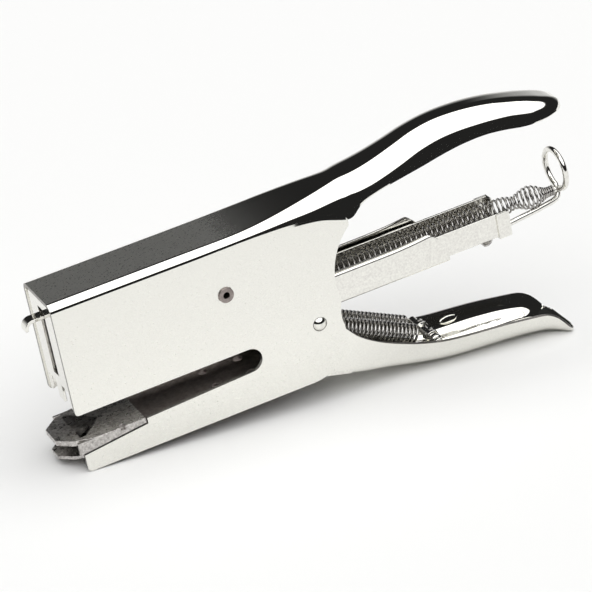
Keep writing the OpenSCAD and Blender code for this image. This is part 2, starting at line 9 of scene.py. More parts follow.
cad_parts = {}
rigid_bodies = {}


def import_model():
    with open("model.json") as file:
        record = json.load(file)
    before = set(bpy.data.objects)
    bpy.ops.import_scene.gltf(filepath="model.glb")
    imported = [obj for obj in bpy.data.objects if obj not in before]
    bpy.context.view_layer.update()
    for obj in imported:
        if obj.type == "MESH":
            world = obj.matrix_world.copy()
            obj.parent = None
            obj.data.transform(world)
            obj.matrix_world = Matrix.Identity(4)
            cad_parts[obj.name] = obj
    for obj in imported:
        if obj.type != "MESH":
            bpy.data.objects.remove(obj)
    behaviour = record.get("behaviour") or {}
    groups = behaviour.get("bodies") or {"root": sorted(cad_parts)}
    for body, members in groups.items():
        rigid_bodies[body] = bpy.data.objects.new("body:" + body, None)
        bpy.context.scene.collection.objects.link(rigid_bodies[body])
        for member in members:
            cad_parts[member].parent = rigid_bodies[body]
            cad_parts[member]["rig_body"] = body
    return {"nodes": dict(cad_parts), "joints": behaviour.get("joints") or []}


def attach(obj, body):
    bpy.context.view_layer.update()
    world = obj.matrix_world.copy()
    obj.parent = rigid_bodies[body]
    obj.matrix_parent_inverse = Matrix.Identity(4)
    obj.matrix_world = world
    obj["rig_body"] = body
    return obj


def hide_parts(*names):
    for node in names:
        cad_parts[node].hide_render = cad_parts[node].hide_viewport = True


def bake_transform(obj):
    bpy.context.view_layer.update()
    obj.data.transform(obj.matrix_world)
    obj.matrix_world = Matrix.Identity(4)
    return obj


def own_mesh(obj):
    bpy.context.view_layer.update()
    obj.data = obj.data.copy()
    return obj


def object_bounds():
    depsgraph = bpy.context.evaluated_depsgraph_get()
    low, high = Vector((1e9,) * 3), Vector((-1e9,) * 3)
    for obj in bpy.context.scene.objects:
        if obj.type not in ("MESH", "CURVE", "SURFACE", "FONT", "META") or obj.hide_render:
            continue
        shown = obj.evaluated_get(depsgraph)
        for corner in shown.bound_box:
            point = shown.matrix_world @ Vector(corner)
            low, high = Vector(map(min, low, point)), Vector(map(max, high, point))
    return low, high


bl_info = {
    "name": "Plier Stapler",
    "version": (1, 0, 0),
    "blender": (4, 5, 0),
    "location": "View3D > Sidebar > Stapler",
    "description": "Builds a nickel-plated plier stapler on its packed frame, with its stage",
    "category": "Object",
}

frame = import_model()
CAD_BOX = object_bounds()

# ---- The stapler's own axes: x runs back from the jaw front, z up from the jaw heel, in mm ----

MM = 0.001
JOINTS = {joint["name"]: joint for joint in frame["joints"]}
REAR = Vector(JOINTS["puller_slide"]["axis"])
SIDE = Vector((0.0, 1.0, 0.0))
UP = REAR.cross(SIDE)
TILT = math.atan2(REAR.z, REAR.x)
PIVOT = (67.3, 15.6)
ORIGIN = Vector(JOINTS["lever_hinge"]["pos_m"]) - MM * (PIVOT[0] * REAR + PIVOT[1] * UP)

# Half widths of the nested sheet parts
SHELL_HALF = 9.4
LEVER_HALF = 8.2
MAGAZINE_HALF = 7.2
STAPLE_HALF = 6.35

# Where the springs and the wires run
ANCHOR = (69.5, 11.5)
HOOK = (99.1, -3.4)
SPRING_SPREAD = 3.1
FEED_START = 36.2
FEED_END = 141.6
FEED_HEIGHT = 22.9
RING_CENTRE = (143.1, 28.0)

EYELET = (44.5, 33.1)

# Radii of the holes: for the hollow rivet, for the main rivet, and for it in the lever's cheeks
EYELET_HOLE = 1.55
PIVOT_HOLE = 1.93
CHEEK_HOLE = 1.65

# Ends of the drawn parts: the seam between plate and roof, the handle, the lever and the channel
SEAM_END = 80.0
HANDLE_TIP = 146.35
LEVER_FRONT = 69.2
LEVER_TIP = 138.3
CHANNEL_FRONT = 2.7
CHANNEL_END = 106.35

# Heights: the channel's floor, the staples' crowns, and where the jaw plates begin to lean in
CHANNEL_FLOOR = 17.6
STAPLE_TOP = 25.35
LEAN_FROM = 12.5

# Height above which a plate follows the roof's width
UPPER_PLATE = 38

# Stations of the roof and upper handle: x, top, half width, bend radius, bend angle, lower edge
ROOF_STATIONS = [
    (0.0, 47.0, 9.4, 2.4, 90.0, 44.6),
    (20.0, 47.0, 9.4, 2.4, 90.0, 44.6),
    (38.0, 47.0, 9.4, 2.4, 89.0, 44.62),
    (46.0, 47.0, 9.4, 2.3, 86.0, 44.75),
    (52.0, 47.1, 9.4, 2.35, 83.0, 44.8),
    (58.0, 47.4, 9.4, 2.8, 80.0, 44.55),
    (64.0, 47.9, 9.4, 3.6, 78.0, 44.2),
    (72.6, 48.7, 9.4, 5.2, 75.5, 43.1),
    (80.0, 49.4, 9.38, 6.4, 74.0, 40.7),
    (81.8, 49.6, 9.3, 6.5, 74.0, 41.0),
    (83.4, 49.8, 9.22, 6.6, 74.0, 42.4),
    (85.4, 50.05, 9.1, 6.7, 74.0, 43.6),
    (88.6, 50.5, 8.9, 6.8, 74.5, 44.5),
    (92.6, 51.3, 8.65, 6.8, 75.0, 45.2),
    (98.0, 52.7, 8.42, 6.8, 75.5, 46.0),
    (103.3, 54.2, 8.26, 6.7, 76.0, 46.8),
    (109.0, 55.2, 8.14, 6.6, 76.0, 47.8),
    (114.5, 55.5, 8.1, 6.6, 76.0, 48.5),
    (121.0, 55.2, 8.1, 6.6, 76.0, 48.7),
    (127.0, 54.4, 8.08, 6.5, 76.0, 48.0),
    (132.0, 53.3, 8.0, 6.4, 75.5, 47.0),
    (136.0, 52.2, 7.85, 6.1, 75.0, 46.6),
    (139.2, 51.2, 7.3, 5.4, 74.0, 46.5),
    (141.4, 50.4, 6.6, 4.5, 73.0, 46.5),
    (143.2, 49.7, 5.7, 3.7, 72.0, 46.5),
    (144.6, 49.0, 4.6, 2.8, 71.0, 46.5),
    (145.5, 48.4, 3.5, 2.0, 70.0, 46.5),
    (146.1, 47.85, 2.4, 1.3, 70.0, 46.5),
    (146.35, 47.5, 1.7, 0.8, 70.0, 46.5),
]

# Stations of the lever: x, underside, rim, half width at the rim, bend radius, slope of the wall
LEVER_STATIONS = [
    (69.2, -1.1, 13.2, 8.2, 1.8, 0.0),
    (71.6, -1.8, 12.6, 8.2, 1.9, 0.0),
    (73.7, -2.5, 11.6, 8.2, 2.0, 0.0),
    (76.9, -3.6, 7.8, 8.2, 2.3, 0.0),
    (80.4, -4.7, 5.0, 8.2, 2.8, 0.03),
    (84.4, -6.0, 2.6, 8.2, 3.6, 0.08),
    (89.4, -7.7, 0.3, 8.25, 4.5, 0.16),
    (94.4, -9.2, -1.6, 8.35, 5.2, 0.22),
    (99.0, -10.4, -2.9, 8.5, 5.8, 0.26),
    (103.2, -11.2, -3.7, 8.6, 6.2, 0.28),
    (108.8, -11.8, -4.4, 8.7, 6.4, 0.28),
    (114.3, -12.2, -5.0, 8.7, 6.4, 0.28),
    (119.0, -12.6, -5.6, 8.6, 6.3, 0.28),
    (123.4, -13.0, -6.3, 8.5, 6.0, 0.28),
    (127.6, -13.5, -7.0, 8.4, 5.4, 0.28),
    (130.6, -13.9, -7.7, 8.36, 4.6, 0.3),
    (133.0, -14.3, -9.3, 8.4, 3.2, 0.36),
    (134.8, -14.6, -11.4, 8.5, 1.8, 0.45),
    (136.0, -14.8, -13.1, 8.6, 0.8, 0.6),
    (136.9, -14.95, -13.9, 8.4, 0.45, 0.6),
    (137.6, -15.05, -14.3, 7.7, 0.35, 0.5),
    (138.05, -15.1, -14.45, 6.7, 0.3, 0.5),
    (138.3, -15.12, -14.5, 5.4, 0.28, 0.5),
]

# The lever's cheeks, which carry the rivet bores up beside the magazine
CHEEK = [
    (67.1, -0.2), (73.7, -2.0), (75.5, 5.0), (72.2, 11.4), (72.5, 24.6), (68.8, 39.5),
    (62.1, 45.1), (41.0, 44.5), (41.0, 41.5), (51.1, 40.1), (59.3, 24.6), (62.3, 16.6), (63.9, 6.6),
]

# How far a cheek's faces lie inside the trough's, so that they don't share a plane
CHEEK_INSET = 0.04

# Rear end of the magazine channel: x, height of the wall, and how far its lip is rolled in
CHANNEL_STATIONS = [
    (2.7, 25.2, 112.0),
    (40.0, 25.2, 112.0),
    (72.0, 25.2, 112.0),
    (90.0, 25.25, 112.0),
    (96.0, 25.5, 108.0),
    (99.5, 25.8, 92.0),
    (101.4, 26.0, 58.0),
    (102.6, 25.9, 20.0),
    (103.6, 25.2, 6.0),
    (104.6, 24.2, 4.0),
    (105.5, 22.9, 4.0),
    (106.1, 21.5, 4.0),
    (106.35, 20.3, 4.0),
]


def at(x, y, z):
    """A point of the stapler's own axes, in mm, as a point of the row frame in metres."""
    return ORIGIN + MM * (x * REAR + y * SIDE + z * UP)


def along(x, y, z):
    """A direction of the stapler's own axes."""
    return x * REAR + y * SIDE + z * UP


def mm(length):
    """A property's length, which is in metres, in mm."""
    return length / MM


# ---- Curves ----


def smooth_rows(rows, x):
    """The row at x on a smooth curve through rows, each of which starts with its own x."""
    count = len(rows)
    span = next((i for i in range(count - 2) if x < rows[i + 1][0]), count - 2)
    low, high = rows[span], rows[span + 1]
    before, after = rows[max(span - 1, 0)], rows[min(span + 2, count - 1)]
    run = high[0] - low[0]
    t = (x - low[0]) / run
    values = [x]
    for k in range(1, len(low)):
        slope_low = (high[k] - before[k]) / (high[0] - before[0]) * run
        slope_high = (after[k] - low[k]) / (after[0] - low[0]) * run
        values.append(
            (2 * t**3 - 3 * t**2 + 1) * low[k]
            + (t**3 - 2 * t**2 + t) * slope_low
            + (3 * t**2 - 2 * t**3) * high[k]
            + (t**3 - t**2) * slope_high
        )
    return values


def steps(low, high, spacing):
    """Evenly spaced values from low up to, and without, high."""
    count = max(1, round((high - low) / spacing))
    return [low + (high - low) * i / count for i in range(count)]


def arc(centre, radius, start, end, count):
    """Points in the side view on an arc between two angles in degrees."""
    angles = [math.radians(start + (end - start) * i / count) for i in range(count + 1)]
    return [(centre[0] + radius * math.cos(a), centre[1] + radius * math.sin(a)) for a in angles]


def smooth_path(knots, count):
    """Points on a smooth curve through knots, count of them from each knot to the next."""
    knots = [Vector(k) for k in knots]
    path = []
    for i in range(len(knots) - 1):
        a = knots[max(i - 1, 0)]
        b, c = knots[i], knots[i + 1]
        d = knots[min(i + 2, len(knots) - 1)]
        for j in range(count):
            t = j / count
            path.append(
                0.5 * (2 * b + (c - a) * t + (2 * a - 5 * b + 4 * c - d) * t**2
                       + (3 * b - a - 3 * c + d) * t**3)
            )
    path.append(knots[-1])
    return path


def inside(point, loop):
    """Whether a side-view point lies inside a closed loop."""
    x, z = point
    within = False
    for (x0, z0), (x1, z1) in zip(loop, loop[1:] + loop[:1]):
        if (z0 > z) != (z1 > z) and x < (x1 - x0) * (z - z0) / (z1 - z0) + x0:
            within = not within
    return within


# ---- Meshes ----

# Edges sharper than these angles, in degrees, are rounded or shaded as edges
SHARP_EDGE = 35.0
SHEET_EDGE = 50.0
SOLID_EDGE = 40.0

# Distances in metres within which points are one: in a new mesh, and in a CAD node's mesh
NEW_WELD = 0.00002
CAD_WELD = 0.000004


def grid_faces(rows, columns):
    """Quads between neighbouring rows of points."""
    return [
        (r * columns + c, (r + 1) * columns + c, (r + 1) * columns + c + 1, r * columns + c + 1)
        for r in range(rows - 1)
        for c in range(columns - 1)
    ]


def loft(sections):
    """Points and quads of a sheet through open sections that have as many points each."""
    points = [p for section in sections for p in section]
    return points, grid_faces(len(sections), len(sections[0]))


def tube(path, radius, sides):
    """Points and faces of a round wire along a path, with its ends closed."""
    path = [Vector(p) for p in path]
    points, faces = [], []
    carried = Vector((0.0, 0.31, 0.95))
    for i, centre in enumerate(path):
        ahead = (path[min(i + 1, len(path) - 1)] - path[max(i - 1, 0)]).normalized()
        carried = (carried - carried.dot(ahead) * ahead).normalized()
        across = ahead.cross(carried)
        for k in range(sides):
            a = math.tau * k / sides
            points.append(centre + radius * (math.cos(a) * carried + math.sin(a) * across))
    for i in range(len(path) - 1):
        for k in range(sides):
            a, b = i * sides + k, i * sides + (k + 1) % sides
            faces.append((a, b, b + sides, a + sides))
    faces.append(tuple(reversed(range(sides))))
    last = (len(path) - 1) * sides
    faces.append(tuple(range(last, last + sides)))
    return points, faces


# How many of a flat sheet's first points, its edges among them, the inner ones keep away from
SPACED_FROM = 400


def flat_sheet(outline, holes, inner_spacing):
    """Points and triangles of a flat side-view sheet, with a net of points inside it."""
    loops = [outline] + holes
    points, edges = [], []
    for loop in loops:
        start = len(points)
        points += [Vector(p) for p in loop]
        edges += [(start + i, start + (i + 1) % len(loop)) for i in range(len(loop))]
    low_x, high_x = min(p[0] for p in outline), max(p[0] for p in outline)
    low_z, high_z = min(p[1] for p in outline), max(p[1] for p in outline)
    for x in steps(low_x + inner_spacing / 2, high_x, inner_spacing):
        for z in steps(low_z + inner_spacing / 2, high_z, inner_spacing):
            here = Vector((x, z))
            clear = all((here - p).length > inner_spacing * 0.4 for p in points[:SPACED_FROM])
            if clear and inside(here, outline) and not any(inside(here, h) for h in holes):
                points.append(here)
    flat, _, triangles, _, _, _ = delaunay_2d_cdt(points, edges, [], 0, 1e-5)
    kept = []
    for t in triangles:
        middle = sum((flat[i] for i in t), Vector((0.0, 0.0))) / len(t)
        if inside(middle, outline) and not any(inside(middle, h) for h in holes):
            kept.append(tuple(t))
    return [tuple(p) for p in flat], kept


def link_piece(name, mesh, body, stands_for):
    """Puts a mesh in the scene as a piece, riding on a body if one is named."""
    piece = bpy.data.objects.new(name, mesh)
    bpy.context.scene.collection.objects.link(piece)
    if body:
        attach(piece, body)
    for node in stands_for:
        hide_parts(node)
    return piece


def add_piece(name, points, faces, body, finish, stands_for=(), solid=False):
    """Adds a piece from points in the stapler's own axes, in mm."""
    mesh = bpy.data.meshes.new(name)
    mesh.from_pydata([at(*p) for p in points], [], faces)
    mesh.materials.append(finish_of(finish))
    net = bmesh.new()
    net.from_mesh(mesh)
    bmesh.ops.remove_doubles(net, verts=net.verts, dist=NEW_WELD)
    bmesh.ops.recalc_face_normals(net, faces=net.faces)
    for face in net.faces:
        face.smooth = True
    net.to_mesh(mesh)
    net.free()
    if solid:
        mesh.set_sharp_from_angle(angle=math.radians(SOLID_EDGE))
    return link_piece(name, mesh, body, stands_for)


def thicken(piece, gauge, inward):
    """Gives an open sheet its gauge, on the side that the sign of inward picks, and its sheared edge, which
    is darkened as painted shade lines.
    """
    piece.data.materials.append(finish_of("sheared_edge_and_painted_shade"))
    sheet = piece.modifiers.new("Gauge", "SOLIDIFY")
    sheet.thickness = gauge
    sheet.offset = inward
    sheet.use_even_offset = True
    # The rim faces take the sheared-edge material, whose dark grey is partly painted shade lines along the
    # edges.
    sheet.material_offset_rim = 1


def round_edges(piece, width, angle):
    """Rounds every edge sharper than an angle, as deburring and plating do."""
    bevel = piece.modifiers.new("Rounded edges", "BEVEL")
    bevel.width = width
    bevel.segments = 2
    bevel.limit_method = "ANGLE"
    bevel.angle_limit = math.radians(angle)
    bevel.miter_outer = "MITER_ARC"
    bevel.use_clamp_overlap = True
    normals = piece.modifiers.new("Flat faces stay flat", "WEIGHTED_NORMAL")
    normals.keep_sharp = True
    normals.weight = 60


def refine(node, name, finish, rounding, angle=SHARP_EDGE):
    """Stands a rounded copy of a CAD node in its place, with the faces merged to its real facets.
    """
    source = frame["nodes"][node]
    mesh = bpy.data.meshes.new(name)
    net = bmesh.new()
    net.from_mesh(source.data)
    bmesh.ops.remove_doubles(net, verts=net.verts, dist=CAD_WELD)
    bmesh.ops.dissolve_limit(
        net, angle_limit=math.radians(1.0), verts=net.verts, edges=net.edges, delimit={"NORMAL"}
    )
    for face in net.faces:
        face.smooth = True
    net.to_mesh(mesh)
    net.free()
    mesh.materials.append(finish_of(finish))
    mesh.set_sharp_from_angle(angle=math.radians(angle))
    piece = link_piece(name, mesh, source["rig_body"], [node])
    round_edges(piece, rounding, angle)


# ---- Colours and materials ----


def linear(code):
    """An sRGB hex colour as linear red, green and blue."""
    parts = [int(code[i : i + 2], 16) / 255 for i in (1, 3, 5)]
    return tuple(v / 12.92 if v <= 0.04045 else ((v + 0.055) / 1.055) ** 2.4 for v in parts)


def per_metre(size_mm):
    """The texture scale at which a pattern's features are size_mm across."""
    return 1000.0 / size_mm


def add_node(tree, kind, inputs, **settings):
    """Adds a node; inputs gives sockets their values, or the outputs that feed them."""
    made = tree.nodes.new(kind)
    for name, value in settings.items():
        setattr(made, name, value)
    for key, value in inputs.items():
        if isinstance(value, bpy.types.NodeSocket):
            tree.links.new(value, made.inputs[key])
        else:
            made.inputs[key].default_value = value
    return made


def new_material(name):
    """A material and its empty node tree."""
    made = bpy.data.materials.new(name)
    made.use_nodes = True
    made.node_tree.nodes.clear()
    return made, made.node_tree


# Depth of a metal's relief in metres, and how far a rolled finish's roughness strays either way
RELIEF_DEPTH = 0.00002
SATIN_SPREAD = 0.04

# The middle of a noise's values, where nearly all of them lie
NOISE_SPAN = {"From Min": 0.3, "From Max": 0.7}


def metal(name, colour, shade, smooth, rough, grain, stretch, relief, mottle, satin=None):
    """A metal: grain in mm sets its roughness and relief, and mottle in mm drifts its colour.

    Its roughness runs from smooth to rough, or keeps near satin on faces marked as rolled.
    """
    made, tree = new_material(name)
    place = add_node(tree, "ShaderNodeTexCoord", {})
    turned = add_node(
        tree, "ShaderNodeMapping",
        {"Vector": place.outputs["Object"], "Rotation": (0.0, TILT, 0.0), "Scale": stretch},
    )
    fine = add_node(
        tree, "ShaderNodeTexNoise",
        {"Vector": turned.outputs[0], "Scale": per_metre(grain), "Detail": 4.0, "Roughness": 0.6},
    )
    broad = add_node(
        tree, "ShaderNodeTexNoise",
        {"Vector": place.outputs["Object"], "Scale": per_metre(mottle), "Detail": 3.0, "Roughness": 0.55},
    )
    drift = add_node(
        tree, "ShaderNodeMapRange",
        {"Value": broad.outputs["Fac"], **NOISE_SPAN, "To Min": 0.0, "To Max": 1.0},
    )
    tint = add_node(
        tree, "ShaderNodeMix",
        {0: drift.outputs[0], 6: (*shade, 1.0), 7: (*colour, 1.0)}, data_type="RGBA",
    )
    blur = add_node(
        tree, "ShaderNodeMapRange",
        {"Value": fine.outputs["Fac"], **NOISE_SPAN, "To Min": smooth, "To Max": rough},
    )
    roughness = blur.outputs[0]
    if satin is not None:
        rolled = add_node(tree, "ShaderNodeAttribute", {}, attribute_name="rolled")
        rolled_blur = add_node(
            tree, "ShaderNodeMapRange",
            {"Value": fine.outputs["Fac"], **NOISE_SPAN,
             "To Min": satin - SATIN_SPREAD, "To Max": satin + SATIN_SPREAD},
        )
        both = add_node(
            tree, "ShaderNodeMix",
            {0: rolled.outputs["Fac"], 2: roughness, 3: rolled_blur.outputs[0]}, data_type="FLOAT",
        )
        roughness = both.outputs[0]
    bump = add_node(
        tree, "ShaderNodeBump",
        {"Height": fine.outputs["Fac"], "Strength": relief, "Distance": RELIEF_DEPTH},
    )
    shader = add_node(
        tree, "ShaderNodeBsdfPrincipled",
        {"Base Color": tint.outputs[2], "Roughness": roughness, "Normal": bump.outputs[0], "Metallic": 1.0},
    )
    add_node(tree, "ShaderNodeOutputMaterial", {"Surface": shader.outputs[0]})
    return made


MADE = {}


def finish_of(name):
    """The material of a finish, made when it is first asked for."""
    if name not in MADE:
        MADE[name] = FINISHES[name](bpy.context.scene.stapler_finishes)
    return MADE[name]


def bright_nickel(tones):
    # Bright nickel plate on drawn steel: mirror-clear where it was bent, with a faint warm tone.
    # Rolled flats keep the mill's fine lengthwise grain under the plate, so they reflect softly.
    return metal(
        "bright nickel plate", tones.nickel, tones.nickel_shade, smooth=0.03, rough=0.06,
        grain=0.35, stretch=(0.5, 1.0, 1.0), relief=0.015, mottle=0.45, satin=tones.mill_blur,
    )


def satin_nickel(tones):
    # Nickel plate over mill-finish sheet: the channel and rail, with lengthwise rolling lines.
    return metal(
        "satin nickel plate", tones.nickel, tones.satin_shade, smooth=0.07, rough=0.15,
        grain=0.3, stretch=(0.1, 1.0, 1.0), relief=0.01, mottle=0.5,
    )


def dark_steel(tones):
    # Blackened pressed steel inside the jaw: dull, brownish and a little uneven.
    return metal(
        "blackened steel", tones.dark, tones.dark_shade, smooth=0.34, rough=0.48,
        grain=0.35, stretch=(0.5, 1.0, 1.0), relief=0.3, mottle=1.2,
    )


def hardened_steel(tones):
    # Case-hardened, barrel-tumbled anvil steel: polished on its high spots, pitted in between.
    return metal(
        "case-hardened steel", tones.hardened, tones.hardened_shade, smooth=0.2, rough=0.46,
        grain=0.9, stretch=(1.0, 1.0, 1.0), relief=1.0, mottle=0.9,
    )


def spring_steel(tones):
    # Drawn spring wire, oil-tempered and thinly plated: dark between bright lengthwise glints.
    return metal(
        "spring wire", tones.spring, tones.spring_shade, smooth=0.12, rough=0.24,
        grain=0.25, stretch=(1.0, 1.0, 1.0), relief=0.15, mottle=0.5,
    )


def sheared_edge_and_painted_shade(tones):
    # Sheared and tumbled edge of the plated sheet: greyer and rougher than its faces, and darkened further
    # as painted shade, which draws thin dark shadow lines along every sheet edge.
    return metal(
        "sheared sheet edge and painted shade", tones.edge, tones.edge_grey_and_painted_shade, smooth=0.3, rough=0.45,
        grain=0.3, stretch=(1.0, 1.0, 0.3), relief=0.3, mottle=0.5,
    )


def bright_wire(tones):
    # Nickel-plated drawn wire of the puller: bright, with faint draw marks.
    return metal(
        "plated wire", tones.nickel, tones.satin_shade, smooth=0.05, rough=0.13,
        grain=0.3, stretch=(0.1, 1.0, 1.0), relief=0.12, mottle=0.8,
    )


def galvanised_wire(tones):
    # Flattened galvanised wire of the staples: pale zinc with a matt bloom.
    return metal(
        "galvanised wire", tones.zinc, tones.zinc_shade, smooth=0.26, rough=0.42,
        grain=0.2, stretch=(1.0, 1.0, 1.0), relief=0.3, mottle=0.4,
    )


FINISHES = {
    "bright_nickel": bright_nickel,
    "satin_nickel": satin_nickel,
    "dark_steel": dark_steel,
    "hardened_steel": hardened_steel,
    "spring_steel": spring_steel,
    "bright_wire": bright_wire,
    "sheared_edge_and_painted_shade": sheared_edge_and_painted_shade,
    "galvanised_wire": galvanised_wire,
}


# ---- Settings ----


def length(name, text, value):
    """A length property whose default is given in mm."""
    return bpy.props.FloatProperty(
        name=name, description=text, default=value * MM, min=0.0, unit="LENGTH", precision=5
    )


def colour(name, text, code):
    """A colour property whose default is given as an sRGB hex colour."""
    return bpy.props.FloatVectorProperty(
        name=name, description=text, default=linear(code), size=3, min=0.0, max=1.0, subtype="COLOR"
    )


class StaplerSizes(bpy.types.PropertyGroup):
    """Sizes that a user would change."""

    body_gauge: length("Body gauge", "Thickness of the body's sheet steel", 1.0)
    lever_gauge: length("Lever gauge", "Thickness of the lever's sheet steel", 0.8)
    channel_gauge: length("Channel gauge", "Thickness of the magazine channel", 0.55)
    edge_round: length("Edge rounding", "Rounding of the sheet parts' cut edges", 0.22)
    small_round: length("Fine rounding", "Rounding of the small parts' edges", 0.12)
    jaw_taper: length("Jaw taper", "How far the lower jaw leans in at the heel", 0.3)
    lip_radius: length("Lip radius", "Radius of the magazine channel's rolled lips", 1.0)
    staple_wire: length("Staple wire", "Thickness of a staple", 0.5)
    staple_leg: length("Staple leg", "Length of a staple's legs", 6.0)
    strip_length: length("Strip length", "Length of the loaded strip of staples", 25.5)
    return_wire: length("Return spring wire", "Wire diameter of the two return springs", 0.8)
    return_width: length("Return spring width", "Outside diameter of the return springs", 5.6)
    return_pitch: length("Return spring pitch", "Distance between the return springs' coils", 1.12)
    feed_wire: length("Feed spring wire", "Wire diameter of the feed spring", 0.55)
    feed_width: length("Feed spring width", "Outside diameter of the feed spring in the rail", 5.2)
    feed_pitch: length("Feed spring pitch", "Distance between the feed spring's coils", 1.5)
    puller_wire: length("Puller wire", "Diameter of the puller's wire", 1.6)
    ring_radius: length("Ring radius", "Mean radius of the pull ring", 5.4)


class StaplerFinishes(bpy.types.PropertyGroup):
    """Colours and finishes that a user would change."""

    nickel: colour("Nickel", "Bright nickel plate", "#f3f2ec")
    nickel_shade: colour("Nickel shade", "Nickel plate where it is a little duller", "#eae9e3")
    satin_shade: colour("Satin shade", "Nickel over mill-finish sheet", "#dedcd7")
    dark: colour("Blackened steel", "Pressed steel inside the jaw", "#a59b97")
    dark_shade: colour("Blackened shade", "Deeper tone of the blackened steel", "#857c79")
    hardened: colour("Hardened steel", "Anvil steel on its high spots", "#dcd9d6")
    hardened_shade: colour("Hardened shade", "Anvil steel between them", "#9a9693")
    spring: colour("Spring wire", "Spring wire where it shines", "#cccac7")
    spring_shade: colour("Spring shade", "Spring wire's deeper tone", "#8d8a87")
    # The sheared edges' greys are darkened past the sheet's own tone as painted shade, to draw thin shadow
    # lines along edges.
    edge: colour("Sheared edge", "Sheared edges of the plated sheet", "#a5a29e")
    edge_grey_and_painted_shade: colour("Sheared edge shade", "Deeper tone of the sheared edges", "#7c7976")
    zinc: colour("Zinc", "Galvanised staples", "#d9dadb")
    zinc_shade: colour("Zinc shade", "Duller zinc bloom", "#b3b5b7")
    mill_blur: bpy.props.FloatProperty(
        name="Mill blur", description="Roughness of the rolled flats", default=0.3, min=0.0, max=1.0,
        subtype="FACTOR",
    )
    floor: colour("Floor", "Paper floor", "#f4f4f3")


class StaplerStage(bpy.types.PropertyGroup):
    """Light, floor and view."""

    floor_size: bpy.props.FloatProperty(
        name="Floor size", description="Side of the square floor", default=7.0, unit="LENGTH"
    )
    softbox: bpy.props.FloatProperty(
        name="Softbox", description="Brightness of the soft light overhead", default=1.95, min=0.0
    )
    surround: bpy.props.FloatProperty(
        name="Surround", description="Brightness of the dark room round the light", default=0.018, min=0.0
    )
    skirting: bpy.props.FloatProperty(
        name="Skirting", description="Glow low down behind the stapler", default=0.7, min=0.0
    )
    lens: bpy.props.FloatProperty(
        name="Lens", description="Focal length", default=190.45, unit="CAMERA"
    )


# ---- Body shell ----


def mirrored(x, side):
    """A whole section at x from its right half, which starts on the middle plane."""
    return [(x, -y, z) for y, z in reversed(side[1:])] + [(x, y, z) for y, z in side]



# Steps across half of the roof: on its flat top, round the bend and down the wall
FLAT_STEPS = 4
BEND_STEPS = 12
WALL_STEPS = 3


def bent_section(x, top, half, bend, angle, edge):
    """One section of a sheet bent down at both sides: flat top, bend, then a straight wall."""
    end = math.radians(angle)
    wall = max((top - bend * (1 - math.cos(end)) - edge) / math.sin(end), 0.02)
    flat = max(half - bend * math.sin(end) - wall * math.cos(end), 0.1)
    side = [(flat * i / FLAT_STEPS, top) for i in range(FLAT_STEPS)]
    for i in range(BEND_STEPS + 1):
        a = end * i / BEND_STEPS
        side.append((flat + bend * math.sin(a), top - bend * (1 - math.cos(a))))
    y, z = side[-1]
    for i in range(1, WALL_STEPS + 1):
        share = i / WALL_STEPS
        side.append((y + (half - y) * share, z + (edge - z) * share))
    return mirrored(x, side)


def roof_positions():
    """Stations along the roof: closer where it is drawn, and closest at the tip."""
    return (
        [0.0, 0.6, 1.4]
        + steps(2.5, 45.0, 2.6)
        + steps(45.0, SEAM_END, 1.0)
        + steps(SEAM_END, 92.0, 0.6)
        + steps(92.0, 136.0, 1.6)
        + steps(136.0, 144.0, 0.6)
        + steps(144.0, HANDLE_TIP, 0.2)
        + [HANDLE_TIP]
    )


def plate_outline(seam):
    """Side-view outline of a body plate, under the seam where it meets the roof's bend."""
    rear = arc((92.0, 25.2), 18.4, 131.0, 195.0, 16)
    heel = arc((62.9, 11.5), 11.5, -8.0, -90.0, 14)
    front_heel = arc((1.2, 1.2), 1.2, -90.0, -180.0, 5)
    jaw_top = [(0.0, 4.9), (17.7, 6.9), (17.7, 8.45)]
    throat = [(16.9 + 30.35 * i / 10, 8.4 + 1.3 * i / 10) for i in range(1, 10)]
    throat += arc((47.25, 12.95), 3.25, -90.0, 90.0, 18)
    upper_edge = [(x, 16.2) for x in (40.0, 32.0, 24.0, 16.0, 8.0)]
    front_low = arc((0.9, 17.1), 0.9, -90.0, -180.0, 4)
    rear_mid = [(73.5, 16.6), (73.45, 15.0), (73.8, 12.5)]
    front = [(0.0, z) for z in (24.0, 31.0, 38.0)]
    below = rear + rear_mid + heel + front_heel + jaw_top
    return seam + below + throat + upper_edge + front_low + front


class STAPLER_OT_body_shell(bpy.types.Operator):
    """Body: roof, bends, upper handle and both side plates, in one piece of sheet"""

    bl_idname = "stapler.body_shell"
    bl_label = "Body Shell"

    def execute(self, context):
        sizes = context.scene.stapler_sizes
        positions = roof_positions()
        rows = [smooth_rows(ROOF_STATIONS, x) for x in positions]
        sections = [bent_section(*row) for row in rows]
        points, faces = loft(sections)
        seam = [(row[0], row[5]) for row in rows if row[0] <= SEAM_END + 0.001]
        holes = [arc(EYELET, EYELET_HOLE, 0.0, 345.0, 23), arc(PIVOT, PIVOT_HOLE, 0.0, 345.0, 23)]
        flat, triangles = flat_sheet(plate_outline(seam), holes, 3.0)
        taper = mm(sizes.jaw_taper)
        for side in (-1, 1):
            start = len(points)
            for x, z in flat:
                upper = z > UPPER_PLATE
                y = smooth_rows(ROOF_STATIONS, min(max(x, 0.0), SEAM_END))[2] if upper else SHELL_HALF
                lean = taper * max(0.0, LEAN_FROM - z) / LEAN_FROM
                points.append((x, side * (y - lean), z))
            faces += [tuple(start + i for i in t) for t in triangles]
        piece = add_piece(
            "Body_shell", points, faces, "body", "bright_nickel", ["body_shell"]
        )
        mark_rolled(piece)
        crease_seam(piece)
        thicken(piece, sizes.body_gauge, -1)
        round_edges(piece, sizes.edge_round, SHEET_EDGE)
        return {"FINISHED"}


